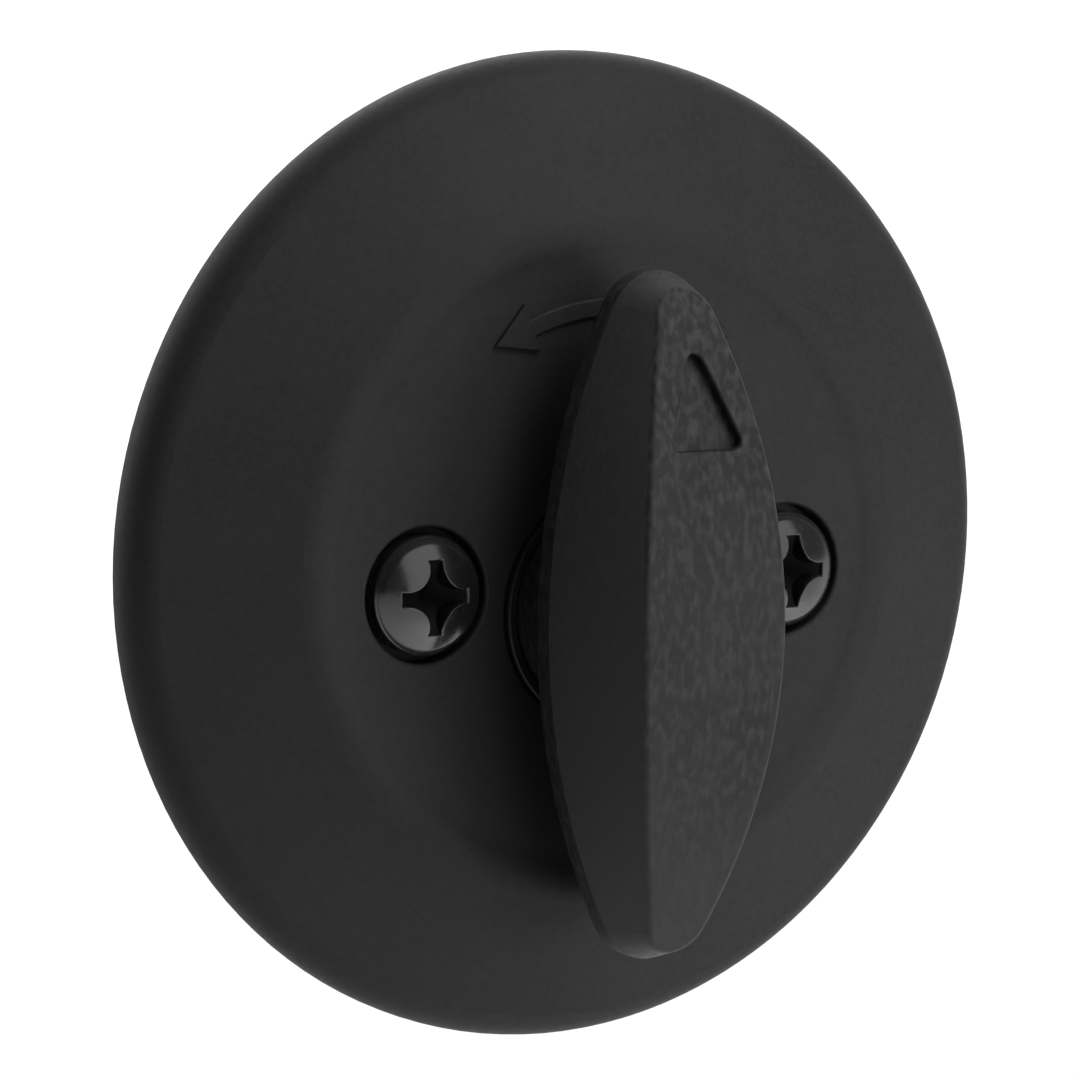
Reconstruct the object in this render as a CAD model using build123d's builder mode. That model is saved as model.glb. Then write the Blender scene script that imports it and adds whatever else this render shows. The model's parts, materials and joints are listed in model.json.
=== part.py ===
from build123d import *
import math
import os

# Interior thumbturn assembly of a deadbolt door lock. Millimetres, +Z up.
# The door's face is the plane Y = 0: the rose stands off it towards -Y, and the stem, the torque blade and
# the mounting screws go into the door's bore towards +Y. The origin is the rose's centre on the door's face.
# Heights are measured from the door's face towards the room, so a negative height is inside the door.

# ---- driving dimensions ----
ROSE_R = 31.75                 # 2 1/2 in rose
HUB_DROP = 3.15                # the stem's axis sits this far below the rose's centre
SCREW_DROP = 1.55              # the two mounting screws sit this far below the rose's centre
SCREW_X = 13.3                 # half the spacing of the mounting screws

# rose: outer skin, then inner skin, as heights over the door
ROSE_CORNER_H = 2.2            # where the side wall and the sloping ring would meet
ROSE_RIM_FILLET = 2.7
CREST_R = 20.9
CREST_H = 6.4
CENTRE_R = 19.2                # edge of the slightly sunk flat centre
CENTRE_H = 6.1
CREST_SOFTNESS = 4.0
CENTRE_SOFTNESS = 6.0
INNER_WALL_R = 30.2
INNER_CORNER_H = 1.0
INNER_CREST_R = 20.6
INNER_CREST_H = 4.9
INNER_CENTRE_H = 4.6

# support plate inside the rose
PLATE_R = 28.8
PLATE_H = 1.2                  # its front face; its back face is flush with the door
BEAD_R = 25.6                  # stiffening groove in its back face
BEAD_W = 1.6
BEAD_DEEP = 0.35
PLATE_SCREW_CIRCLE_R = 22.3
PLATE_SCREW_R = 1.2
PLATE_SCREW_HEAD_R = 2.2
PLATE_SCREW_HEAD_T = 1.1
PLATE_SCREW_END_H = 3.5
PLATE_SCREW_SLOT_L = 2.4       # driving slots: length, width and depth
PLATE_SCREW_SLOT_W = 0.6
PLATE_SCREW_SLOT_DEEP = 0.5
BOSS_R = 3.3
BOSS_TOP_H = 4.1
BOSS_OVERLAP = 0.5             # the screw bosses run this far into the skin
MOUTH_FILLET = 0.25            # round the counterbores and the hub hole
CUT_PAST = 1.0                 # a cutter runs this far past what it cuts

# mounting screws, no. 8 with a no. 2 cross recess
SCREW_HEAD_R = 3.75
SCREW_SEAT_H = 4.6
SCREW_SIDE_H = 6.3             # where the head's side ends and its dome starts
SCREW_DOME_T = 1.45
SCREW_SHANK_R = 1.9            # plain shank under the head
SCREW_THREAD_R = 2.08          # outside of the thread
SCREW_THREAD_H = -1.5          # where the thread starts
SCREW_END_H = -30.0
SCREW_THREAD_RAMP = 0.18       # length of the slope between the shank and the thread
SCREW_POINT = 0.7
RECESS_SPAN = 4.75             # the cross at its mouth: span, wing width, radius of the hollow in its middle
RECESS_WING = 1.25
RECESS_ROOT_R = 1.28
RECESS_FLOOR_SPAN = 2.14       # the same at its bottom
RECESS_FLOOR_WING = 0.88
RECESS_FLOOR_R = 0.62
RECESS_DEEP = 2.3
COUNTERBORE_R = 4.25
SCREW_HOLE_R = 2.35
SCREW_BOSS_R = 5.1

# thumbturn
BACK_H = 9.6                   # its flat back
BAND_H = 11.25                 # where the straight band ends and the sloping side starts
FRONT_H = 18.43                # front face at mid length
FRONT_ARCH_R = 49.5            # the front face is arched along its length
LEAF_HALF_L = 21.65            # outline of the band: half length, half width, tip radius
LEAF_HALF_W = 7.6
LEAF_TIP_R = 3.4
SIDE_DRAFT = 19.1              # degrees
LOFT_TOP_H = 18.9
FRONT_EDGE_FILLET = 0.45
BACK_EDGE_FILLET = 0.35
NECK_R = 6.85
NECK_FILLET = 0.6
SHOULDER_H = 1.75              # end of the neck
STEM_R = 4.5
STEM_END_H = -12.0
STEM_FLAT = 3.5                # half the distance across the stem's two flats
FLATS_START_H = -0.1
GROOVE_R = 3.9                 # at the retaining ring
GROOVE_H = (-5.85, -6.8)
SLOT_H = -7.2                  # bottom of the blade's slot
SLOT_SIZE = (7.0, 1.8)
POINTER_TIP = 17.1             # the sunk triangle, measured from the stem's axis
POINTER_BASE = 11.0
POINTER_HALF_W = 2.75
POINTER_CORNER_R = 0.55
POINTER_DEEP = 0.7
POINTER_EDGE_FILLET = 0.18
ARCH_PAST = 4.0                # the arch cutter runs this far past the leaf's ends
ARCH_DEEP = 8.0
STEM_END_CHAMFER = 0.4

# hub bushing
BUSH_OUTER_R = 7.55
BUSH_BORE_R = 6.9
BUSH_LIP_H = 6.4
BUSH_LIP_FILLET = 0.18
BUSH_FLANGE_R = 8.9
BUSH_FLANGE_H = (4.55, 3.3)
BUSH_FLANGE_HALF_W = 7.6       # the flange is cut flat beside the screw bosses
HUB_HOLE_R = 7.6

# detent, stops and the parts that hold the stem in
CAM_HALF = 5.1
CAM_CORNER_R = 3.0
CAM_H = (-1.3, -4.3)
LUG_TIER_H = (-0.1, -1.25)
LUG_DISC_R = 5.4
LUG_REACH = 7.6
LUG_HALF_W = 1.5
STOP_PIN_R = 1.0
STOP_CIRCLE_R = 6.6
STOP_CLEARANCE = 0.06
STOP_PIN_CHAMFER = 0.2
CAM_FIT = 0.05                 # gap at the stem's flats
LEAF_T = 0.5
LEAF_GAP = 0.05
LEAF_HALF_SPAN = 10.5
LEAF_FLAT_HALF = 3.6           # the stretch that lies on the cam
LEAF_RISE = 0.9                # the leaf's ends stand this much further out
LEAF_TAB_W = 3.5
LEAF_H = (-1.6, -4.3)
FOOT_LENGTH = 5.4
RIVET_R = 0.9
RIVET_HEAD_R = 1.6
RIVET_HEAD_T = 0.6
RIVET_HEAD_FILLET = 0.48
RIVET_TAIL_R = 1.44
RIVET_TAIL_T = 0.3
RIVET_OFFSET = 0.6             # from the middle of a foot
THRUST_WASHER_H = (1.2, 1.7)
THRUST_WASHER_R = 6.7
STEM_CLEAR_R = 4.6
SPRING_WASHER_H = (-4.32, -5.15)
SPRING_WASHER_T = 0.35
SPRING_WASHER_R = 6.4
CLIP_WASHER_H = (-5.17, -5.8)
CLIP_WASHER_R = 6.7
RING_H = (-5.87, -6.67)
RING_R = (3.95, 5.7)
RING_GAP = 2.24
RING_EAR_R = 1.25
RING_EAR_X = 2.35              # the ears sit this far to either side of the gap's middle
RING_EAR_HOLE_R = 0.5

# torque blade and its pin
BLADE_W = 6.0
BLADE_T = 1.6
BLADE_ROOT_H = -7.6
BLADE_END_H = -42.0
BLADE_POINT = 1.2
BLADE_ROOT_FILLET = 0.6
PIN_H = -9.2
PIN_R = 1.2
PIN_HALF_L = 3.6
PIN_HOLE_R = 1.25
PIN_CHAMFER = 0.25

# push-on washers that keep the mounting screws captive
RETAINER_H = (-0.05, -0.85)
RETAINER_R = 4.0
RETAINER_BORE_R = 1.93
RETAINER_FILLET = 0.2

# raised mark on the rose: a curved arrow with a head at each end
MARK_CIRCLE_R = 15.9
MARK_RAISE = 0.28
MARK_SUNK = 0.1                # the mark starts this far inside the rose
MARK_FILLET = 0.12
ARROW_LINE = 1.15
ARROW_TURN = 22.0              # the backs of its heads, in degrees to either side of upright
HEAD_LENGTH = 2.9
HEAD_WIDTH = 3.2

# ---- planes: local x is +X, local y is +Z, and the normal points into the room ----
door = Plane(origin=(0, 0, 0), x_dir=(1, 0, 0), z_dir=(0, -1, 0))
hub = Plane(origin=(0, 0, -HUB_DROP), x_dir=(1, 0, 0), z_dir=(0, -1, 0))
# sections: local x is a radius along +X, and local y is a height over the door
door_section = Plane(origin=(0, 0, 0), x_dir=(1, 0, 0), z_dir=(0, 0, -1))
hub_section = Plane(origin=(0, 0, -HUB_DROP), x_dir=(1, 0, 0), z_dir=(0, 0, -1))
# long section through the turn: local x is +Z, and local y is a height over the door
hub_long_section = Plane(origin=(0, 0, -HUB_DROP), x_dir=(0, 0, 1), z_dir=(1, 0, 0))
door_axis = Axis((0, 0, 0), (0, -1, 0))
hub_axis = Axis((0, 0, -HUB_DROP), (0, -1, 0))
screw_spots = [(-SCREW_X, -SCREW_DROP), (SCREW_X, -SCREW_DROP)]

# the lug meets a stop pin after exactly a quarter turn either way from pointing down
stop_turn = math.asin((LUG_HALF_W + STOP_PIN_R + STOP_CLEARANCE) / STOP_CIRCLE_R)
stop_x = STOP_CIRCLE_R * math.cos(stop_turn)
stop_y = STOP_CIRCLE_R * math.sin(stop_turn)
stop_spots = [(-stop_x, stop_y), (stop_x, stop_y)]

leaf_near = CAM_HALF + LEAF_GAP + LEAF_T / 2
leaf_far = leaf_near + LEAF_RISE
leg_x = LEAF_HALF_SPAN - LEAF_TAB_W / 2
foot_y = leaf_far + (FOOT_LENGTH - LEAF_T) / 2
rivet_y = foot_y + RIVET_OFFSET
rivet_spots = [(x, y) for x in (-leg_x, leg_x) for y in (-rivet_y, rivet_y)]


def flat_ring(heights, outer_r, inner_r):
    """A flat ring round the stem between two heights."""
    with BuildPart() as washer:
        with BuildSketch(hub.offset(min(heights))):
            Circle(outer_r)
            Circle(inner_r, mode=Mode.SUBTRACT)
        extrude(amount=max(heights) - min(heights))
    return washer


def mark_plane(turn):
    """A plane just inside the rose's flat centre, turned to the left about the rose's centre, in degrees."""
    across = (math.cos(math.radians(turn)), 0, math.sin(math.radians(turn)))
    return Plane(origin=(0, MARK_SUNK - CENTRE_H, 0), x_dir=across, z_dir=(0, -1, 0))


def leaf_outline(half_l, half_w, tip_r):
    """The thumbturn's outline: two long arcs that run into two small tip arcs. Call it inside BuildLine."""
    tip_y = half_l - tip_r
    side_r = (half_w**2 + tip_y**2 - tip_r**2) / (2 * (half_w - tip_r))
    turn = math.atan2(tip_y, side_r - half_w)
    touch = (half_w - side_r + side_r * math.cos(turn), side_r * math.sin(turn))
    ThreePointArc((touch[0], -touch[1]), (half_w, 0), touch)
    ThreePointArc(touch, (0, half_l), (-touch[0], touch[1]))
    ThreePointArc((-touch[0], touch[1]), (-half_w, 0), (-touch[0], -touch[1]))
    ThreePointArc((-touch[0], -touch[1]), (0, -half_l), (touch[0], -touch[1]))


def arch(height, reach):
    """Everything in front of the arched face, seen along the turn. Call it inside BuildLine."""
    end_h = height - FRONT_ARCH_R + math.sqrt(FRONT_ARCH_R**2 - reach**2)
    ThreePointArc((-reach, end_h), (0, height), (reach, end_h))
    Polyline((reach, end_h), (reach, height + ARCH_DEEP), (-reach, height + ARCH_DEEP), (-reach, end_h))


def mark_rim(edge):
    """True for the edges round the top of the raised mark."""
    box = edge.bounding_box()
    top = -CENTRE_H - MARK_RAISE
    return abs(box.min.Y - top) < 0.01 and abs(box.max.Y - top) < 0.01 and box.min.Z > CENTRE_R / 2


def neck_root(edge):
    """True for the circle where the neck leaves the thumbturn's flat back."""
    if edge.geom_type != GeomType.CIRCLE:
        return False
    return abs(edge.radius - NECK_R) < 0.01 and abs(edge.center().Y + BACK_H) < 0.01


def pointer_rim(edge):
    """True for the edges where the sunk triangle's walls meet the arched front face."""
    middle = edge.center()
    y = middle.Z + HUB_DROP
    if not POINTER_BASE - 0.05 < y < POINTER_TIP + POINTER_CORNER_R:
        return False
    if abs(middle.X) > POINTER_HALF_W:
        return False
    box = edge.bounding_box()
    front = FRONT_H - FRONT_ARCH_R + math.sqrt(FRONT_ARCH_R**2 - (box.max.Z + HUB_DROP)**2)
    return -box.max.Y > front - 0.6 * POINTER_DEEP


# ---- rose cover ----
with BuildPart() as rose_cover:
    with BuildSketch(door_section):
        with BuildLine():
            FilletPolyline(
                (ROSE_R, 0),
                (ROSE_R, ROSE_CORNER_H),
                (CREST_R, CREST_H),
                (CENTRE_R, CENTRE_H),
                (0, CENTRE_H),
                radius=[ROSE_RIM_FILLET, CREST_SOFTNESS, CENTRE_SOFTNESS],
            )
            FilletPolyline(
                (INNER_WALL_R, 0),
                (INNER_WALL_R, INNER_CORNER_H),
                (INNER_CREST_R, INNER_CREST_H),
                (0, INNER_CENTRE_H),
                radius=[ROSE_RIM_FILLET / 2, CREST_SOFTNESS],
            )
            Line((ROSE_R, 0), (INNER_WALL_R, 0))
            Line((0, CENTRE_H), (0, INNER_CENTRE_H))
        make_face()
    revolve(axis=door_axis)
    # screw bosses and the blind bosses for the plate's screws stand on the support plate
    with BuildSketch(door.offset(PLATE_H)):
        with Locations(*screw_spots):
            Circle(SCREW_BOSS_R)
    extrude(amount=INNER_CENTRE_H + BOSS_OVERLAP - PLATE_H)
    with BuildSketch(door.offset(PLATE_H)):
        with PolarLocations(PLATE_SCREW_CIRCLE_R, 3, start_angle=90):
            Circle(BOSS_R)
    extrude(amount=BOSS_TOP_H - PLATE_H)
    with BuildSketch(door.offset(PLATE_H)):
        with PolarLocations(PLATE_SCREW_CIRCLE_R, 3, start_angle=90):
            Circle(PLATE_SCREW_R)
    extrude(amount=PLATE_SCREW_END_H - PLATE_H, mode=Mode.SUBTRACT)
    # counterbored holes for the mounting screws
    with BuildSketch(door.offset(SCREW_SEAT_H)):
        with Locations(*screw_spots):
            Circle(COUNTERBORE_R)
    extrude(amount=CENTRE_H, mode=Mode.SUBTRACT)
    with BuildSketch(door):
        with Locations(*screw_spots):
            Circle(SCREW_HOLE_R)
    extrude(amount=CENTRE_H, mode=Mode.SUBTRACT)
    # hub hole
    with BuildSketch(hub):
        Circle(HUB_HOLE_R)
    extrude(amount=CREST_H + CUT_PAST, mode=Mode.SUBTRACT)
    mouths = rose_cover.edges().filter_by(GeomType.CIRCLE)
    mouths = mouths.filter_by(lambda e: abs(e.center().Y + CENTRE_H) < 0.01 and e.radius < CENTRE_R / 2)
    fillet(mouths, radius=MOUTH_FILLET)
    # raised arrow: an arc and a head at each end
    with BuildSketch(mark_plane(0)):
        with BuildLine():
            CenterArc((0, 0), MARK_CIRCLE_R, 90 - ARROW_TURN, 2 * ARROW_TURN)
        trace(line_width=ARROW_LINE)
    extrude(amount=MARK_RAISE + MARK_SUNK)
    for side in (-1, 1):
        with BuildSketch(mark_plane(-side * ARROW_TURN)):
            with BuildLine():
                Polyline(
                    (side * HEAD_LENGTH, MARK_CIRCLE_R),
                    (0, MARK_CIRCLE_R + HEAD_WIDTH / 2),
                    (0, MARK_CIRCLE_R - HEAD_WIDTH / 2),
                    close=True,
                )
            make_face()
        extrude(amount=MARK_RAISE + MARK_SUNK)
    fillet(rose_cover.edges().filter_by(mark_rim), radius=MARK_FILLET)
rose_cover.part.label = "rose_cover"

# ---- support plate ----
with BuildPart() as support_plate:
    with BuildSketch(door):
        Circle(PLATE_R)
        with Locations(*screw_spots):
            Circle(SCREW_HOLE_R, mode=Mode.SUBTRACT)
        with PolarLocations(PLATE_SCREW_CIRCLE_R, 3, start_angle=90):
            Circle(PLATE_SCREW_R, mode=Mode.SUBTRACT)
    extrude(amount=PLATE_H)
    with BuildSketch(door):
        Circle(BEAD_R + BEAD_W / 2)
        Circle(BEAD_R - BEAD_W / 2, mode=Mode.SUBTRACT)
    extrude(amount=BEAD_DEEP, mode=Mode.SUBTRACT)
    with BuildSketch(hub):
        Circle(STEM_CLEAR_R)
        with Locations(*stop_spots):
            Circle(STOP_PIN_R)
        with Locations(*rivet_spots):
            Circle(RIVET_R)
    extrude(amount=PLATE_H, mode=Mode.SUBTRACT)
support_plate.part.label = "support_plate"

# ---- three screws that hold the plate to the rose ----
with BuildPart() as plate_screws:
    with BuildSketch(door.offset(-PLATE_SCREW_HEAD_T)):
        with PolarLocations(PLATE_SCREW_CIRCLE_R, 3, start_angle=90):
            Circle(PLATE_SCREW_HEAD_R)
    extrude(amount=PLATE_SCREW_HEAD_T)
    fillet(plate_screws.edges().group_by(Axis.Y)[-1], radius=PLATE_SCREW_HEAD_T / 2)
    with BuildSketch(door):
        with PolarLocations(PLATE_SCREW_CIRCLE_R, 3, start_angle=90):
            Circle(PLATE_SCREW_R)
    extrude(amount=PLATE_SCREW_END_H - 0.1)
    with BuildSketch(door.offset(-PLATE_SCREW_HEAD_T)):
        with PolarLocations(PLATE_SCREW_CIRCLE_R, 3, start_angle=90):
            Rectangle(PLATE_SCREW_SLOT_L, PLATE_SCREW_SLOT_W)
            Rectangle(PLATE_SCREW_SLOT_W, PLATE_SCREW_SLOT_L)
    extrude(amount=PLATE_SCREW_SLOT_DEEP, mode=Mode.SUBTRACT)
plate_screws.part.label = "plate_screws"

# ---- thumbturn ----
# cutter for the sunk triangle: its floor follows the arched face
with BuildPart() as pointer_cutter:
    with BuildSketch(hub.offset(BAND_H)):
        with BuildLine():
            FilletPolyline(
                (0, POINTER_TIP + POINTER_CORNER_R),
                (-POINTER_HALF_W, POINTER_BASE),
                (POINTER_HALF_W, POINTER_BASE),
                radius=POINTER_CORNER_R,
                close=True,
            )
        make_face()
    extrude(amount=LOFT_TOP_H - BAND_H + CUT_PAST)
    with BuildSketch(hub_long_section):
        with BuildLine():
            arch(FRONT_H - POINTER_DEEP, LEAF_HALF_L + ARCH_PAST)
        make_face()
    extrude(amount=LEAF_HALF_W * 2, both=True, mode=Mode.INTERSECT)

with BuildPart() as thumbturn:
    with BuildSketch(hub.offset(BACK_H)):
        with BuildLine():
            leaf_outline(LEAF_HALF_L, LEAF_HALF_W, LEAF_TIP_R)
        make_face()
    extrude(amount=BAND_H - BACK_H)
    # sloping side: the same outline, drawn in evenly towards the front
    draw_in = (LOFT_TOP_H - BAND_H) * math.tan(math.radians(SIDE_DRAFT))
    with BuildSketch(hub.offset(BAND_H)):
        with BuildLine():
            leaf_outline(LEAF_HALF_L, LEAF_HALF_W, LEAF_TIP_R)
        make_face()
    with BuildSketch(hub.offset(LOFT_TOP_H)):
        with BuildLine():
            leaf_outline(LEAF_HALF_L - draw_in, LEAF_HALF_W - draw_in, LEAF_TIP_R - draw_in)
        make_face()
    loft(ruled=True)
    with BuildSketch(hub_long_section):
        with BuildLine():
            arch(FRONT_H, LEAF_HALF_L + ARCH_PAST)
        make_face()
    extrude(amount=LEAF_HALF_W * 2, both=True, mode=Mode.SUBTRACT)
    front_face = thumbturn.faces().filter_by(GeomType.CYLINDER).sort_by(Axis.Y)[0]
    fillet(front_face.edges(), radius=FRONT_EDGE_FILLET)
    fillet(thumbturn.faces().sort_by(Axis.Y)[-1].edges(), radius=BACK_EDGE_FILLET)
    # neck, stem and what is cut into the stem
    with BuildSketch(hub.offset(SHOULDER_H)):
        Circle(NECK_R)
    extrude(amount=BACK_H - SHOULDER_H)
    fillet(thumbturn.edges().filter_by(neck_root), radius=NECK_FILLET)
    with BuildSketch(hub.offset(STEM_END_H)):
        Circle(STEM_R)
    extrude(amount=SHOULDER_H - STEM_END_H)
    chamfer(thumbturn.edges().group_by(Axis.Y)[-1], length=STEM_END_CHAMFER)
    with BuildSketch(hub.offset(FLATS_START_H)):
        Circle(STEM_R * 2)
        Rectangle(STEM_R * 4, STEM_FLAT * 2, mode=Mode.SUBTRACT)
    extrude(amount=STEM_END_H - FLATS_START_H, mode=Mode.SUBTRACT)
    with BuildSketch(hub.offset(GROOVE_H[1])):
        Circle(STEM_R * 2)
        Circle(GROOVE_R, mode=Mode.SUBTRACT)
    extrude(amount=GROOVE_H[0] - GROOVE_H[1], mode=Mode.SUBTRACT)
    with BuildSketch(hub.offset(SLOT_H)):
        Rectangle(*SLOT_SIZE)
    extrude(amount=STEM_END_H - SLOT_H, mode=Mode.SUBTRACT)
    with BuildSketch(Plane(origin=(0, -PIN_H, -HUB_DROP), z_dir=(0, 0, 1))):
        Circle(PIN_R)
    extrude(amount=STEM_R * 2, both=True, mode=Mode.SUBTRACT)
    add(pointer_cutter.part, mode=Mode.SUBTRACT)
    fillet(thumbturn.edges().filter_by(pointer_rim), radius=POINTER_EDGE_FILLET)
thumbturn.part.label = "thumbturn"

# ---- hub bushing ----
with BuildPart() as hub_bushing:
    with BuildSketch(hub.offset(PLATE_H)):
        Circle(BUSH_OUTER_R)
    extrude(amount=BUSH_LIP_H - PLATE_H)
    with BuildSketch(hub.offset(BUSH_FLANGE_H[1])):
        Circle(BUSH_FLANGE_R)
        Rectangle(BUSH_FLANGE_HALF_W * 2, BUSH_FLANGE_R * 2, mode=Mode.INTERSECT)
    extrude(amount=BUSH_FLANGE_H[0] - BUSH_FLANGE_H[1])
    with BuildSketch(hub.offset(PLATE_H)):
        Circle(BUSH_BORE_R)
    extrude(amount=BUSH_LIP_H - PLATE_H, mode=Mode.SUBTRACT)
    fillet(hub_bushing.edges().group_by(Axis.Y)[0], radius=BUSH_LIP_FILLET)
hub_bushing.part.label = "hub_bushing"

# ---- thrust washer ----
thrust_washer = flat_ring(THRUST_WASHER_H, THRUST_WASHER_R, STEM_CLEAR_R)
thrust_washer.part.label = "thrust_washer"

# ---- detent cam: a lug tier that meets the stop pins and a square tier between the leaf springs ----
with BuildPart() as detent_cam:
    with BuildSketch(hub.offset(LUG_TIER_H[1])):
        Circle(LUG_DISC_R)
        Circle(LUG_REACH)
        with Locations((0, -LUG_REACH / 2)):
            Rectangle(LUG_HALF_W * 2, LUG_REACH, mode=Mode.INTERSECT)
        Circle(LUG_DISC_R)
    extrude(amount=LUG_TIER_H[0] - LUG_TIER_H[1])
    with BuildSketch(hub.offset(CAM_H[1])):
        RectangleRounded(CAM_HALF * 2, CAM_HALF * 2, CAM_CORNER_R)
    extrude(amount=LUG_TIER_H[1] - CAM_H[1])
    with BuildSketch(hub.offset(CAM_H[1])):
        Circle(STEM_CLEAR_R)
        Rectangle(STEM_R * 4, (STEM_FLAT + CAM_FIT) * 2, mode=Mode.INTERSECT)
    extrude(amount=LUG_TIER_H[0] - CAM_H[1], mode=Mode.SUBTRACT)
detent_cam.part.label = "detent_cam"


def leaf_spring(side):
    """A stamped spring: a bowed strip on edge, two legs and two feet. side is 1 above the cam, -1 below."""
    with BuildPart() as spring:
        with BuildSketch(hub.offset(LEAF_H[1])):
            with BuildLine():
                Polyline(
                    (-LEAF_HALF_SPAN, side * leaf_far),
                    (-LEAF_HALF_SPAN + LEAF_TAB_W, side * leaf_far),
                    (-LEAF_FLAT_HALF, side * leaf_near),
                    (LEAF_FLAT_HALF, side * leaf_near),
                    (LEAF_HALF_SPAN - LEAF_TAB_W, side * leaf_far),
                    (LEAF_HALF_SPAN, side * leaf_far),
                )
            trace(line_width=LEAF_T)
        extrude(amount=LEAF_H[0] - LEAF_H[1])
        with BuildSketch(hub.offset(LEAF_H[0])):
            with Locations((-leg_x, side * leaf_far), (leg_x, side * leaf_far)):
                Rectangle(LEAF_TAB_W, LEAF_T)
        extrude(amount=-LEAF_H[0])
        with BuildSketch(hub.offset(-LEAF_T)):
            with Locations((-leg_x, side * foot_y), (leg_x, side * foot_y)):
                Rectangle(LEAF_TAB_W, FOOT_LENGTH)
            with Locations((-leg_x, side * rivet_y), (leg_x, side * rivet_y)):
                Circle(RIVET_R, mode=Mode.SUBTRACT)
        extrude(amount=LEAF_T)
    return spring


# ---- detent springs ----
detent_spring_upper = leaf_spring(1)
detent_spring_upper.part.label = "detent_spring_upper"

detent_spring_lower = leaf_spring(-1)
detent_spring_lower.part.label = "detent_spring_lower"

# ---- rivets of the detent springs ----
with BuildPart() as spring_rivets:
    with BuildSketch(hub.offset(-LEAF_T - RIVET_HEAD_T)):
        with Locations(*rivet_spots):
            Circle(RIVET_HEAD_R)
    extrude(amount=RIVET_HEAD_T)
    fillet(spring_rivets.edges().group_by(Axis.Y)[-1], radius=RIVET_HEAD_FILLET)
    with BuildSketch(hub.offset(-LEAF_T)):
        with Locations(*rivet_spots):
            Circle(RIVET_R)
    extrude(amount=LEAF_T + PLATE_H)
    with BuildSketch(hub.offset(PLATE_H)):
        with Locations(*rivet_spots):
            Circle(RIVET_TAIL_R)
    extrude(amount=RIVET_TAIL_T)
spring_rivets.part.label = "spring_rivets"

# ---- stop pins ----
with BuildPart() as stop_pins:
    with BuildSketch(hub.offset(LUG_TIER_H[1])):
        with Locations(*stop_spots):
            Circle(STOP_PIN_R)
    extrude(amount=PLATE_H - LUG_TIER_H[1])
    chamfer(stop_pins.edges().group_by(Axis.Y)[-1], length=STOP_PIN_CHAMFER)
stop_pins.part.label = "stop_pins"

# ---- spring washer: a slanted strip turned round the stem ----
with BuildPart() as spring_washer:
    with BuildSketch(hub_section):
        with BuildLine():
            Polyline(
                (SPRING_WASHER_R, SPRING_WASHER_H[0]),
                (SPRING_WASHER_R, SPRING_WASHER_H[0] - SPRING_WASHER_T),
                (STEM_CLEAR_R, SPRING_WASHER_H[1]),
                (STEM_CLEAR_R, SPRING_WASHER_H[1] + SPRING_WASHER_T),
                close=True,
            )
        make_face()
    revolve(axis=hub_axis)
spring_washer.part.label = "spring_washer"

# ---- flat washer under the retaining ring ----
clip_washer = flat_ring(CLIP_WASHER_H, CLIP_WASHER_R, STEM_CLEAR_R)
clip_washer.part.label = "clip_washer"

# ---- retaining ring: an open ring with two pierced ears ----
with BuildPart() as retaining_ring:
    ear_y = -math.sqrt(RING_R[1]**2 - RING_EAR_X**2)
    with BuildSketch(hub.offset(RING_H[1])):
        Circle(RING_R[1])
        with Locations((-RING_EAR_X, ear_y), (RING_EAR_X, ear_y)):
            Circle(RING_EAR_R)
        Circle(RING_R[0], mode=Mode.SUBTRACT)
        with Locations((0, -RING_R[1])):
            Rectangle(RING_GAP, RING_R[1], mode=Mode.SUBTRACT)
        with Locations((-RING_EAR_X, ear_y), (RING_EAR_X, ear_y)):
            Circle(RING_EAR_HOLE_R, mode=Mode.SUBTRACT)
    extrude(amount=RING_H[0] - RING_H[1])
retaining_ring.part.label = "retaining_ring"

# ---- torque blade ----
with BuildPart() as torque_blade:
    with BuildSketch(hub.offset(BLADE_END_H)):
        Rectangle(BLADE_W, BLADE_T)
    extrude(amount=BLADE_ROOT_H - BLADE_END_H)
    end_corners = torque_blade.edges().filter_by(Axis.Z).group_by(Axis.Y)
    chamfer(end_corners[-1], length=BLADE_POINT)
    fillet(torque_blade.edges().filter_by(Axis.Z).group_by(Axis.Y)[0], radius=BLADE_ROOT_FILLET)
    with BuildSketch(Plane(origin=(0, -PIN_H, -HUB_DROP), z_dir=(0, 0, 1))):
        Circle(PIN_HOLE_R)
    extrude(amount=BLADE_T, both=True, mode=Mode.SUBTRACT)
torque_blade.part.label = "torque_blade"

# ---- cross pin of the blade ----
with BuildPart() as blade_pin:
    with BuildSketch(Plane(origin=(0, -PIN_H, -HUB_DROP), z_dir=(0, 0, 1))):
        Circle(PIN_R)
    extrude(amount=PIN_HALF_L, both=True)
    chamfer(blade_pin.edges().filter_by(GeomType.CIRCLE), length=PIN_CHAMFER)
blade_pin.part.label = "blade_pin"


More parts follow.
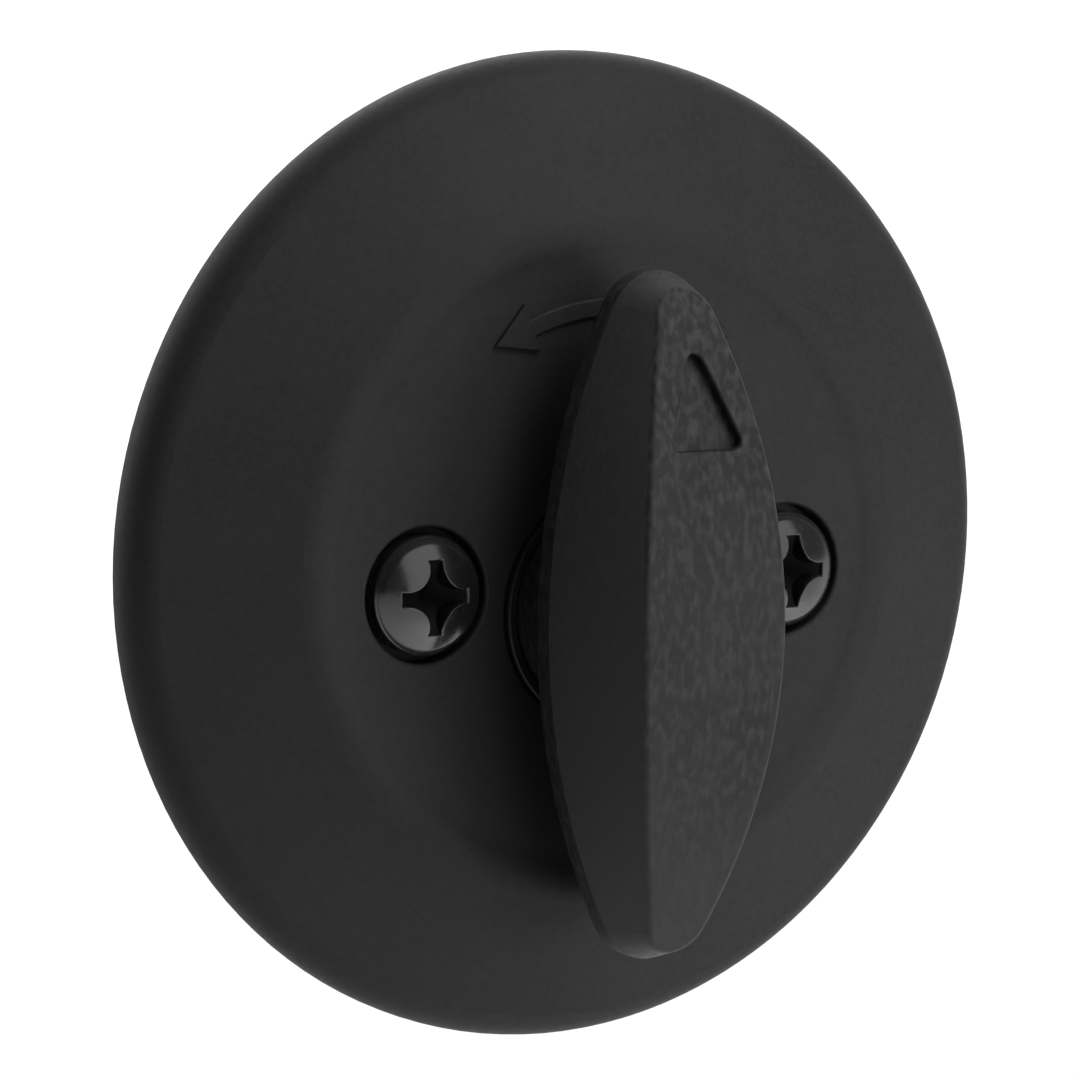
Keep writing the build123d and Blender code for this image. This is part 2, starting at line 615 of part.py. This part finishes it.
def mounting_screw(spot):
    """A domed-head screw with a cross recess, with its axis at spot."""
    x, z = spot
    section = Plane(origin=(x, 0, z), x_dir=(1, 0, 0), z_dir=(0, 0, -1))
    axis = Axis((x, 0, z), (0, -1, 0))
    front = Plane(origin=(x, 0, z), x_dir=(1, 0, 0), z_dir=(0, -1, 0))
    top_h = SCREW_SIDE_H + SCREW_DOME_T
    dome_r = (SCREW_HEAD_R**2 + SCREW_DOME_T**2) / (2 * SCREW_DOME_T)
    half_r = SCREW_HEAD_R / 2
    half_h = top_h - dome_r + math.sqrt(dome_r**2 - half_r**2)
    with BuildPart() as screw:
        with BuildSketch(section):
            with BuildLine():
                ThreePointArc((0, top_h), (half_r, half_h), (SCREW_HEAD_R, SCREW_SIDE_H))
                Polyline(
                    (SCREW_HEAD_R, SCREW_SIDE_H),
                    (SCREW_HEAD_R, SCREW_SEAT_H),
                    (SCREW_SHANK_R, SCREW_SEAT_H),
                    (SCREW_SHANK_R, SCREW_THREAD_H),
                    (SCREW_THREAD_R, SCREW_THREAD_H - SCREW_THREAD_RAMP),
                    (SCREW_THREAD_R, SCREW_END_H + SCREW_POINT),
                    (SCREW_THREAD_R - SCREW_POINT, SCREW_END_H),
                    (0, SCREW_END_H),
                    (0, top_h),
                )
            make_face()
        revolve(axis=axis)
        # the cross recess narrows towards its bottom
        with BuildSketch(front.offset(top_h)):
            Rectangle(RECESS_SPAN, RECESS_WING)
            Rectangle(RECESS_WING, RECESS_SPAN)
            Circle(RECESS_ROOT_R)
        with BuildSketch(front.offset(top_h - RECESS_DEEP)):
            Rectangle(RECESS_FLOOR_SPAN, RECESS_FLOOR_WING)
            Rectangle(RECESS_FLOOR_WING, RECESS_FLOOR_SPAN)
            Circle(RECESS_FLOOR_R)
        loft(ruled=True, mode=Mode.SUBTRACT)
    return screw


# ---- mounting screws ----
mounting_screw_left = mounting_screw(screw_spots[0])
mounting_screw_left.part.label = "mounting_screw_left"

mounting_screw_right = mounting_screw(screw_spots[1])
mounting_screw_right.part.label = "mounting_screw_right"


def screw_retainer(spot):
    """A push-on washer at the plate's back, with its axis at spot."""
    x, z = spot
    with BuildPart() as retainer:
        with BuildSketch(Plane(origin=(x, -RETAINER_H[1], z), x_dir=(1, 0, 0), z_dir=(0, -1, 0))):
            Circle(RETAINER_R)
            Circle(RETAINER_BORE_R, mode=Mode.SUBTRACT)
        extrude(amount=RETAINER_H[0] - RETAINER_H[1])
        fillet(retainer.edges().group_by(Axis.Y)[-1], radius=RETAINER_FILLET)
    return retainer


# ---- screw retainers ----
screw_retainer_left = screw_retainer(screw_spots[0])
screw_retainer_left.part.label = "screw_retainer_left"

screw_retainer_right = screw_retainer(screw_spots[1])
screw_retainer_right.part.label = "screw_retainer_right"

# ---- one STEP file for each piece ----
os.makedirs("parts", exist_ok=True)
export_step(rose_cover.part, "parts/rose_cover.step")
export_step(support_plate.part, "parts/support_plate.step")
export_step(plate_screws.part, "parts/plate_screws.step")
export_step(thumbturn.part, "parts/thumbturn.step")
export_step(hub_bushing.part, "parts/hub_bushing.step")
export_step(thrust_washer.part, "parts/thrust_washer.step")
export_step(detent_cam.part, "parts/detent_cam.step")
export_step(detent_spring_upper.part, "parts/detent_spring_upper.step")
export_step(detent_spring_lower.part, "parts/detent_spring_lower.step")
export_step(spring_rivets.part, "parts/spring_rivets.step")
export_step(stop_pins.part, "parts/stop_pins.step")
export_step(spring_washer.part, "parts/spring_washer.step")
export_step(clip_washer.part, "parts/clip_washer.step")
export_step(retaining_ring.part, "parts/retaining_ring.step")
export_step(torque_blade.part, "parts/torque_blade.step")
export_step(blade_pin.part, "parts/blade_pin.step")
export_step(mounting_screw_left.part, "parts/mounting_screw_left.step")
export_step(mounting_screw_right.part, "parts/mounting_screw_right.step")
export_step(screw_retainer_left.part, "parts/screw_retainer_left.step")
export_step(screw_retainer_right.part, "parts/screw_retainer_right.step")
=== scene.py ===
import json
import math

import bmesh
import bpy
from mathutils import Matrix, Vector


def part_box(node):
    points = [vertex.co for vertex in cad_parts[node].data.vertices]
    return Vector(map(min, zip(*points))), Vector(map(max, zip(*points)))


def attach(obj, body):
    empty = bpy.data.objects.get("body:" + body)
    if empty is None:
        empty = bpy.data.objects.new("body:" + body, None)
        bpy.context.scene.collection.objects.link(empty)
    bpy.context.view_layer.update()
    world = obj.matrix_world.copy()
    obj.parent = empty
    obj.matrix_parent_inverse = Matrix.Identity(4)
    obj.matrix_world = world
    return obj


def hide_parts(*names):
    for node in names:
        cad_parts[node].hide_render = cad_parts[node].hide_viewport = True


# Looks for the interior thumbturn assembly of a deadbolt. Metres; +Z is up, the room is towards -Y and the
# inside of the door is towards +Y.

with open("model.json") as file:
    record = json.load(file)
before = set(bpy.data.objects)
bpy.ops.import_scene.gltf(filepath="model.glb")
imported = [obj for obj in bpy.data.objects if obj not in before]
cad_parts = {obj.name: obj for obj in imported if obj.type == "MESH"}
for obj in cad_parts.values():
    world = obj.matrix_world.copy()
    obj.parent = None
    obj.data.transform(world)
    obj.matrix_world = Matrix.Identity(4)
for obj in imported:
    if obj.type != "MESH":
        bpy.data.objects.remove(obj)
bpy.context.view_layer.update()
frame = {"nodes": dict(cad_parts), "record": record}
nodes = frame["nodes"]
MM = 0.001

# ---- places read from the frame ----
rose_low, rose_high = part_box("rose_cover")
ROSE_R = (rose_high.x - rose_low.x) / 2


# ---- camera ----
CAMERA_AZIMUTH = math.radians(31.47)    # to the left of the rose's axis
CAMERA_ELEVATION = math.radians(7.39)
CAMERA_ROLL = math.radians(0.58)
CAMERA_DISTANCE = 9 * ROSE_R
CAMERA_ASIDE = -1.20 * MM
CAMERA_ABOVE = 0.42 * MM
LENS = 148.17                           # millimetres, as is the sensor
SENSOR_WIDTH = 36
CLIP_START = 0.01
CLIP_END = 200


def make_camera():
    """A long lens at the front left, slightly above the rose's centre."""
    flat = math.cos(CAMERA_ELEVATION)
    towards = Vector((
        -math.sin(CAMERA_AZIMUTH) * flat, -math.cos(CAMERA_AZIMUTH) * flat, math.sin(CAMERA_ELEVATION)
    ))
    level = Vector((math.cos(CAMERA_AZIMUTH), -math.sin(CAMERA_AZIMUTH), 0))
    upright = towards.cross(level)
    right = level * math.cos(CAMERA_ROLL) + upright * math.sin(CAMERA_ROLL)
    up = upright * math.cos(CAMERA_ROLL) - level * math.sin(CAMERA_ROLL)
    place = towards * CAMERA_DISTANCE + right * CAMERA_ASIDE + up * CAMERA_ABOVE
    data = bpy.data.cameras.new("camera")
    data.lens = LENS
    data.sensor_width = SENSOR_WIDTH
    data.clip_start = CLIP_START
    data.clip_end = CLIP_END
    camera = bpy.data.objects.new("camera", data)
    camera.matrix_world = Matrix((
        (right.x, up.x, towards.x, place.x),
        (right.y, up.y, towards.y, place.y),
        (right.z, up.z, towards.z, place.z),
        (0, 0, 0, 1),
    ))
    bpy.context.scene.collection.objects.link(camera)
    bpy.context.scene.camera = camera


# ---- light and floor ----
SKY_FRONT = 0.04            # the sky's strength on the room's side, behind the camera
SKY_BACK = 2.5              # and beyond the lock, where the floor mirrors it and turns white
SKY_FRONT_UNTIL = -0.05     # the Y part of the direction at which the sky starts to brighten
SKY_BACK_FROM = 0.9         # and at which it is brightest
FLOOR_DROP = 0.14
FLOOR_HALF = 40
FLOOR_GREY = 0.36
FLOOR_ROUGHNESS = 0.35
FLOOR_SPECULAR = 0.6

# Places and sizes of the softboxes are in units of the rose's radius, and powers are in watts.
KEY_PLACE = (4.8, -5.6, -1.3)
KEY_SIZE = (3.4, 3.4)
KEY_POWER = 0.90
TOP_PLACE = (2.5, -3.5, 5)
TOP_SIZE = (3, 3)
TOP_POWER = 0.60
SHEEN_PLACE = (2.5, -9, 4)
SHEEN_SIZE = (11, 16)
SHEEN_POWER = 0.52
CEILING_FROM = (0.45, -0.30, 0.84)
CEILING_STRENGTH = 5.2
CEILING_SPREAD = math.radians(80)


def aim(obj, direction):
    """Points a light's beam along direction."""
    obj.rotation_mode = "QUATERNION"
    obj.rotation_quaternion = Vector(direction).to_track_quat("-Z", "Y")


def sun(name, towards, strength, spread):
    """A soft distant light that shines from the direction towards, with a disc spread radians wide."""
    data = bpy.data.lights.new(name, "SUN")
    data.energy = strength
    data.angle = spread
    light = bpy.data.objects.new(name, data)
    light.visible_glossy = False
    aim(light, -Vector(towards))
    bpy.context.scene.collection.objects.link(light)


def panel(name, place, size, power, seen_in):
    """A rectangular softbox that faces the rose.

    seen_in is "coat" for a light that only the matte surfaces scatter, or "gloss" for one that only shows
    as a reflection.
    """
    data = bpy.data.lights.new(name, "AREA")
    data.shape = "RECTANGLE"
    data.size, data.size_y = (side * ROSE_R for side in size)
    data.energy = power
    light = bpy.data.objects.new(name, data)
    light.location = Vector(place) * ROSE_R
    light.visible_diffuse = seen_in == "coat"
    light.visible_glossy = seen_in == "gloss"
    aim(light, -light.location)
    bpy.context.scene.collection.objects.link(light)


def make_sky():
    """A white sky, dark in front of the lock and bright behind it."""
    world = bpy.data.worlds.new("studio")
    world.use_nodes = True
    tree = world.node_tree
    directions = tree.nodes.new("ShaderNodeTexCoord")
    parts = tree.nodes.new("ShaderNodeSeparateXYZ")
    ramp = tree.nodes.new("ShaderNodeMapRange")
    ramp.inputs["From Min"].default_value = SKY_FRONT_UNTIL
    ramp.inputs["From Max"].default_value = SKY_BACK_FROM
    ramp.inputs["To Min"].default_value = SKY_FRONT
    ramp.inputs["To Max"].default_value = SKY_BACK
    tree.links.new(directions.outputs["Generated"], parts.inputs["Vector"])
    tree.links.new(parts.outputs["Y"], ramp.inputs["Value"])
    tree.links.new(ramp.outputs["Result"], tree.nodes["Background"].inputs["Strength"])
    tree.nodes["Background"].inputs["Color"].default_value = (1, 1, 1, 1)
    bpy.context.scene.world = world


def make_floor():
    """A plain pale floor well below the lock, glossy enough to mirror the bright end of the sky."""
    bm = bmesh.new()
    bmesh.ops.create_grid(bm, x_segments=1, y_segments=1, size=FLOOR_HALF)
    mesh = bpy.data.meshes.new("floor")
    bm.to_mesh(mesh)
    bm.free()
    floor = bpy.data.objects.new("floor", mesh)
    floor.location.z = -FLOOR_DROP
    bpy.context.scene.collection.objects.link(floor)
    paint = bpy.data.materials.new("floor_paint")
    paint.use_nodes = True
    shader = paint.node_tree.nodes["Principled BSDF"]
    shader.inputs["Base Color"].default_value = (FLOOR_GREY, FLOOR_GREY, FLOOR_GREY, 1)
    shader.inputs["Roughness"].default_value = FLOOR_ROUGHNESS
    shader.inputs["Specular IOR Level"].default_value = FLOOR_SPECULAR
    mesh.materials.append(paint)


def make_studio():
    """The sky and floor, a key at the lower right, a fill and a ceiling above, and a sheen in front."""
    make_sky()
    make_floor()
    panel("key", KEY_PLACE, KEY_SIZE, KEY_POWER, "coat")
    panel("top", TOP_PLACE, TOP_SIZE, TOP_POWER, "coat")
    panel("sheen", SHEEN_PLACE, SHEEN_SIZE, SHEEN_POWER, "gloss")
    sun("ceiling", CEILING_FROM, CEILING_STRENGTH, CEILING_SPREAD)
    bpy.context.scene.view_settings.view_transform = "Standard"


# ---- materials ----
NOISE_MIDDLE = 0.5
NOISE_REACH = 0.25          # noise is mostly within this of its middle


class Finish:
    """A material with a Principled shader and a few helpers that add procedural detail to it."""

    def __init__(self, name, colour, roughness, metallic=0.0, specular=0.5):
        self.material = bpy.data.materials.new(name)
        self.material.use_nodes = True
        self.tree = self.material.node_tree
        self.shader = self.tree.nodes["Principled BSDF"]
        self.coordinates = self.tree.nodes.new("ShaderNodeTexCoord")
        self.set("Base Color", (*colour, 1))
        self.set("Roughness", roughness)
        self.set("Metallic", metallic)
        self.set("Specular IOR Level", specular)
        self.colour = colour
        self.bumps = None

    def set(self, socket, value):
        """A value that is the same all over."""
        self.shader.inputs[socket].default_value = value

    def link(self, source, target):
        self.tree.links.new(source, target)

    def noise(self, size, stretch=(1, 1, 1), detail=3.0):
        """Noise with features about size metres across, stretched along the object's axes."""
        mapping = self.tree.nodes.new("ShaderNodeMapping")
        mapping.inputs["Scale"].default_value = tuple(1 / (size * s) for s in stretch)
        self.link(self.coordinates.outputs["Object"], mapping.inputs["Vector"])
        texture = self.tree.nodes.new("ShaderNodeTexNoise")
        texture.inputs["Scale"].default_value = 1.0
        texture.inputs["Detail"].default_value = detail
        self.link(mapping.outputs["Vector"], texture.inputs["Vector"])
        return texture.outputs["Fac"]

    def spread(self, value, low, high):
        """Maps the range that noise mostly keeps to onto low to high."""
        node = self.tree.nodes.new("ShaderNodeMapRange")
        node.inputs["From Min"].default_value = NOISE_MIDDLE - NOISE_REACH
        node.inputs["From Max"].default_value = NOISE_MIDDLE + NOISE_REACH
        node.inputs["To Min"].default_value = low
        node.inputs["To Max"].default_value = high
        self.link(value, node.inputs["Value"])
        return node.outputs["Result"]

    def vary_roughness(self, value, low, high):
        self.link(self.spread(value, low, high), self.shader.inputs["Roughness"])

    def vary_colour(self, factors, other):
        """Mixes the base colour towards another colour by each noise in turn."""
        current = None
        for value, low, high in factors:
            mix = self.tree.nodes.new("ShaderNodeMix")
            mix.data_type = "RGBA"
            mix.inputs["A"].default_value = (*self.colour, 1)
            mix.inputs["B"].default_value = (*other, 1)
            if current is not None:
                self.link(current, mix.inputs["A"])
            self.link(self.spread(value, low, high), mix.inputs["Factor"])
            current = mix.outputs["Result"]
        self.link(current, self.shader.inputs["Base Color"])

    def bump(self, value, height):
        """Adds fine relief, height metres from hollow to peak."""
        node = self.tree.nodes.new("ShaderNodeBump")
        node.inputs["Distance"].default_value = height
        node.inputs["Strength"].default_value = 1.0
        self.link(value, node.inputs["Height"])
        if self.bumps is not None:
            self.link(self.bumps, node.inputs["Normal"])
        self.bumps = node.outputs["Normal"]
        self.link(self.bumps, self.shader.inputs["Normal"])


def rose_coat():
    """Matte black coat on a smooth casting: fine orange peel and faint clouds."""
    coat = Finish("rose_coat", (0.0054, 0.0054, 0.0058), 0.55, specular=0.2)
    clouds = coat.noise(6 * MM)
    grain = coat.noise(0.3 * MM, detail=2)
    coat.vary_colour([(clouds, 0.0, 0.4), (grain, -0.2, 0.8)], (0.0090, 0.0090, 0.0096))
    coat.vary_roughness(coat.noise(0.5 * MM), 0.5, 0.6)
    orange_peel = coat.noise(0.22 * MM, detail=2)
    coat.bump(orange_peel, 0.004 * MM)
    return coat.material


def turn_coat():
    """The same coat over a coarser casting, with upright mottling."""
    coat = Finish("turn_coat", (0.0042, 0.0042, 0.0045), 0.55, specular=0.3)
    mottle = coat.noise(0.42 * MM, stretch=(1, 1, 2.0), detail=2)
    patches = coat.noise(4 * MM, stretch=(1, 1, 1.6), detail=1)
    coat.vary_colour([(patches, 0.0, 0.2), (mottle, -0.5, 0.9)], (0.0150, 0.0150, 0.0160))
    coat.vary_roughness(mottle, 0.42, 0.62)
    casting = coat.noise(0.6 * MM, stretch=(1, 1, 2))
    coat.bump(casting, 0.016 * MM)
    orange_peel = coat.noise(0.2 * MM, detail=2)
    coat.bump(orange_peel, 0.004 * MM)
    return coat.material


def screw_black():
    """Glossy black plating."""
    plating = Finish("screw_black", (0.005, 0.005, 0.0054), 0.2, specular=0.8)
    plating.set("Coat Weight", 0.5)
    plating.set("Coat Roughness", 0.15)
    plating.vary_roughness(plating.noise(0.5 * MM), 0.16, 0.3)
    dents = plating.noise(0.7 * MM)
    plating.bump(dents, 0.012 * MM)
    return plating.material


def recess_painted_shade():
    """The same plating made darker and less glossy deep in a cross recess: painted shade for the recess's
    own shadow.
    """
    recess_shade = Finish("recess_painted_shade", (0.002, 0.002, 0.0022), 0.6, specular=0.1)
    recess_shade.vary_roughness(recess_shade.noise(0.3 * MM), 0.5, 0.7)
    return recess_shade.material


def bushing_black():
    """Moulded black acetal."""
    plastic = Finish("bushing_black", (0.006, 0.006, 0.0065), 0.45, specular=0.2)
    plastic.vary_roughness(plastic.noise(0.4 * MM), 0.34, 0.46)
    plastic.bump(plastic.noise(0.3 * MM), 0.003 * MM)
    return plastic.material


def sheet_steel(name, colour, other, roughness, grain):
    """Plated or bare steel with a rolling grain and soft blotches of another colour."""
    steel = Finish(name, colour, roughness, metallic=1.0)
    streaks = steel.noise(0.16 * MM, stretch=grain, detail=4)
    blotches = steel.noise(3 * MM)
    steel.vary_colour([(blotches, 0.0, 0.7), (streaks, 0.0, 0.25)], other)
    steel.vary_roughness(streaks, roughness - 0.07, roughness + 0.1)
    steel.bump(streaks, 0.003 * MM)
    return steel.material


def sintered_brass():
    """Pressed and sintered brass: dull, with fine pores."""
    brass = Finish("cam_metal", (0.52, 0.38, 0.15), 0.42, metallic=1.0)
    pores = brass.noise(0.12 * MM, detail=5)
    blotches = brass.noise(1.5 * MM)
    brass.vary_colour([(blotches, 0.0, 0.6), (pores, 0.0, 0.5)], (0.36, 0.25, 0.1))
    brass.vary_roughness(pores, 0.35, 0.55)
    brass.bump(pores, 0.008 * MM)
    return brass.material


def moulded(name, colour, other):
    """Pale moulded plastic with a little light inside it, and clouds of another colour."""
    plastic = Finish(name, colour, 0.45)
    plastic.set("Subsurface Weight", 0.25)
    plastic.set("Subsurface Scale", 0.4 * MM)
    plastic.vary_colour([(plastic.noise(2 * MM), 0.0, 0.6)], other)
    plastic.vary_roughness(plastic.noise(0.3 * MM), 0.38, 0.52)
    plastic.bump(plastic.noise(0.25 * MM), 0.003 * MM)
    return plastic.material


ZINC = (0.62, 0.63, 0.61)
ZINC_DULL = (0.45, 0.46, 0.45)
ROLLED = (12, 1, 1)         # how far the grain is stretched along each axis
TURNED = (1, 1, 1)
DRAWN = (1, 14, 1)

# slot: colour, the blotches' colour, roughness, grain
STEELS = {
    "zinc_plate": (ZINC, ZINC_DULL, 0.36, ROLLED),
    "zinc_screw": (ZINC, ZINC_DULL, 0.3, TURNED),
    "spring_steel": ((0.42, 0.42, 0.44), (0.3, 0.29, 0.31), 0.3, ROLLED),
    "spring_black": ((0.09, 0.09, 0.1), (0.05, 0.05, 0.055), 0.4, ROLLED),
    "rivet_steel": ((0.55, 0.55, 0.54), ZINC_DULL, 0.34, TURNED),
    "pin_steel": ((0.5, 0.5, 0.51), (0.38, 0.38, 0.39), 0.25, TURNED),
    "washer_steel": (ZINC, ZINC_DULL, 0.34, ROLLED),
    "blade_steel": ((0.56, 0.56, 0.54), (0.42, 0.41, 0.39), 0.36, DRAWN),
}

# slot: colour, the clouds' colour
MOULDINGS = {
    "acetal_white": ((0.78, 0.78, 0.75), (0.7, 0.69, 0.64)),
    "nylon_natural": ((0.8, 0.78, 0.7), (0.7, 0.67, 0.57)),
}


def make_finishes():
    """One material for each slot of the record."""
    finishes = {
        "rose_coat": rose_coat(),
        "turn_coat": turn_coat(),
        "screw_black": screw_black(),
        "bushing_black": bushing_black(),
        "cam_metal": sintered_brass(),
    }
    for slot, look in STEELS.items():
        finishes[slot] = sheet_steel(slot, *look)
    for slot, look in MOULDINGS.items():
        finishes[slot] = moulded(slot, *look)
    return finishes


# ---- mounting screws, with a true cross recess and a rolled thread ----
# Heights are towards the room, from the door's face.
HEAD_R = 3.75 * MM
HEAD_SEAT = 4.6 * MM
HEAD_SIDE = 6.3 * MM
HEAD_TOP = 7.74 * MM
DOME_R = 5.9 * MM
EDGE_ROUND = 0.55 * MM
DOME_INSET = 0.12 * MM           # the dome's last ring is this far in from the head's side
SHOULDER_INSET = 0.03 * MM
SHOULDER_DROP = 0.25 * MM
EDGE_BREAK = 0.08 * MM
NECK_R = 1.9 * MM
NECK_FLARE = 0.25 * MM           # under the head, the neck flares out to this much past the shank
NECK_FLARE_H = 0.35 * MM
SHANK_R = 2.08 * MM
RECESS_REACH = 2.37 * MM
RECESS_DEEP = 2.3 * MM
RECESS_CONE_SLOPE = 0.9
RECESS_SHADE_FROM = 0.22 * MM          # deeper than this, the plating is darkened with painted shade
LAND_CENTRE = 2.05 * MM          # four round lands stand between the wings
LAND_R = 1.6 * MM
WING_END_SLOPE = math.tan(math.radians(26.5))
WING_SIDE_SLOPE = math.tan(math.radians(9))
THREAD_PITCH = 0.794 * MM
THREAD_DEEP = 0.42 * MM
THREAD_CREST = 0.2               # the crest's flat, as a share of the pitch
THREAD_FROM = -1.5 * MM
THREAD_TO = -29.4 * MM
THREAD_END_FADE = 0.2            # the share of the thread's depth that is left at its end
SCREW_END = -30.0 * MM
POINT_INSET = 0.7 * MM
HEAD_SIDES = 288
HEAD_RINGS = 110
SHANK_SIDES = 36
RINGS_PER_PITCH = 8


def recess_depth(x, z):
    """How deep the cross recess is at a point of the head, seen from the front."""
    x, z = abs(x), abs(z)
    end = (RECESS_REACH - max(x, z)) / WING_END_SLOPE
    side = (math.hypot(x - LAND_CENTRE, z - LAND_CENTRE) - LAND_R) / WING_SIDE_SLOPE
    cone = RECESS_DEEP - RECESS_CONE_SLOPE * math.hypot(x, z)
    return max(0.0, min(end, side, cone))


def dome_height(r):
    """The head's dome: round, with a tighter round at its edge."""
    drop = DOME_R - math.sqrt(DOME_R**2 - r**2)
    share = min(1.0, max(0.0, (r - HEAD_R) / EDGE_ROUND + 1))
    return HEAD_TOP - drop - EDGE_ROUND * (1 - math.sqrt(1 - share**2))


def head_height(x, z):
    """The head's front: the dome less the recess."""
    return dome_height(math.hypot(x, z)) - recess_depth(x, z)


def thread_radius(angle, height):
    """The thread's radius at an angle: a flat crest on straight flanks, faded at both ends."""
    phase = (height / THREAD_PITCH + angle / math.tau) % 1
    ridge = min(1.0, (1 - 2 * abs(phase - 0.5)) / (1 - THREAD_CREST))
    fade_in = (THREAD_FROM - height) / THREAD_PITCH
    fade_out = (height - THREAD_TO) / THREAD_PITCH + THREAD_END_FADE
    fade = min(1.0, fade_in, fade_out)
    return SHANK_R - THREAD_DEEP * (1 - ridge) * fade - (SHANK_R - NECK_R) * (1 - fade)


def ring_points(centre, radius, height, count):
    """A ring about the Y axis through centre.

    radius may be a function of the angle and the height, and height one of the place.
    """
    points = []
    for i in range(count):
        angle = math.tau * i / count
        r = radius(angle, height) if callable(radius) else radius
        x, z = r * math.cos(angle), r * math.sin(angle)
        level = height(x, z) if callable(height) else height
        points.append((centre[0] + x, -level, centre[1] + z))
    return points


def grid_surface(bm, rings, start_tip, end_tip):
    """Joins rings of points into a skin round an axis, and closes an end with a point where one is given."""
    rows = [[bm.verts.new(point) for point in ring] for ring in rings]
    count = len(rows[0])
    for a, b in zip(rows, rows[1:]):
        for i in range(count):
            j = (i + 1) % count
            bm.faces.new((a[i], a[j], b[j], b[i]))
    for row, tip, flip in ((rows[0], start_tip, True), (rows[-1], end_tip, False)):
        if tip is not None:
            point = bm.verts.new(tip)
            for i in range(count):
                j = (i + 1) % count
                bm.faces.new((row[j], row[i], point) if flip else (row[i], row[j], point))


def add_head(bm, centre):
    """The dome from its middle outwards, the head's side and its seat."""
    rings = []
    for k in range(1, HEAD_RINGS + 1):
        r = (HEAD_R - DOME_INSET) * k / HEAD_RINGS
        rings.append(ring_points(centre, r, head_height, HEAD_SIDES))
    side = [
        (HEAD_R - SHOULDER_INSET, HEAD_SIDE - EDGE_BREAK),
        (HEAD_R, HEAD_SIDE - SHOULDER_DROP),
        (HEAD_R, HEAD_SEAT + EDGE_BREAK),
        (HEAD_R - EDGE_BREAK, HEAD_SEAT),
        (SHANK_R + NECK_FLARE, HEAD_SEAT),
    ]
    rings += [ring_points(centre, r, height, HEAD_SIDES) for r, height in side]
    grid_surface(bm, rings, (centre[0], -head_height(0, 0), centre[1]), None)


def add_shank(bm, centre):
    """The flared neck, the helical thread and the bevelled point."""
    rings = [
        ring_points(centre, SHANK_R + NECK_FLARE, HEAD_SEAT, SHANK_SIDES),
        ring_points(centre, NECK_R, HEAD_SEAT - NECK_FLARE_H, SHANK_SIDES),
        ring_points(centre, NECK_R, THREAD_FROM, SHANK_SIDES),
    ]
    length = THREAD_FROM - THREAD_TO
    levels = int(length / (THREAD_PITCH / RINGS_PER_PITCH))
    for k in range(1, levels + 1):
        height = THREAD_FROM - length * k / levels
        rings.append(ring_points(centre, thread_radius, height, SHANK_SIDES))
    rings.append(ring_points(centre, SHANK_R - POINT_INSET, SCREW_END, SHANK_SIDES))
    grid_surface(bm, rings, None, (centre[0], -SCREW_END, centre[1]))


def make_screw(name, node, finish, recess_shade_finish):
    """A domed cross-head machine screw in place of a CAD screw."""
    low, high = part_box(node)
    centre = ((low.x + high.x) / 2, (low.z + high.z) / 2)
    bm = bmesh.new()
    add_head(bm, centre)
    add_shank(bm, centre)
    bmesh.ops.recalc_face_normals(bm, faces=bm.faces)
    mesh = bpy.data.meshes.new(name)
    bm.to_mesh(mesh)
    bm.free()
    mesh.materials.append(finish)
    mesh.materials.append(recess_shade_finish)
    for polygon in mesh.polygons:
        polygon.use_smooth = True
        x, z = polygon.center.x - centre[0], polygon.center.z - centre[1]
        # faces deep in the recess take the darker finish, which is painted shade
        if -polygon.center.y > HEAD_SEAT and recess_depth(x, z) > RECESS_SHADE_FROM:
            polygon.material_index = 1
    screw = bpy.data.objects.new(name, mesh)
    bpy.context.scene.collection.objects.link(screw)
    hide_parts(node)
    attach(screw, "rose_assembly")


make_camera()
make_studio()
finishes = make_finishes()
for part in frame["record"]["subparts"]:
    obj = nodes[part["node"]]
    obj.data.materials.clear()
    obj.data.materials.append(finishes[part["material_slot"]])
# the darker finish for the screws' recesses is painted shade
recess_shade = recess_painted_shade()
for side in ("left", "right"):
    make_screw("cross_screw_" + side, "mounting_screw_" + side, finishes["screw_black"], recess_shade)
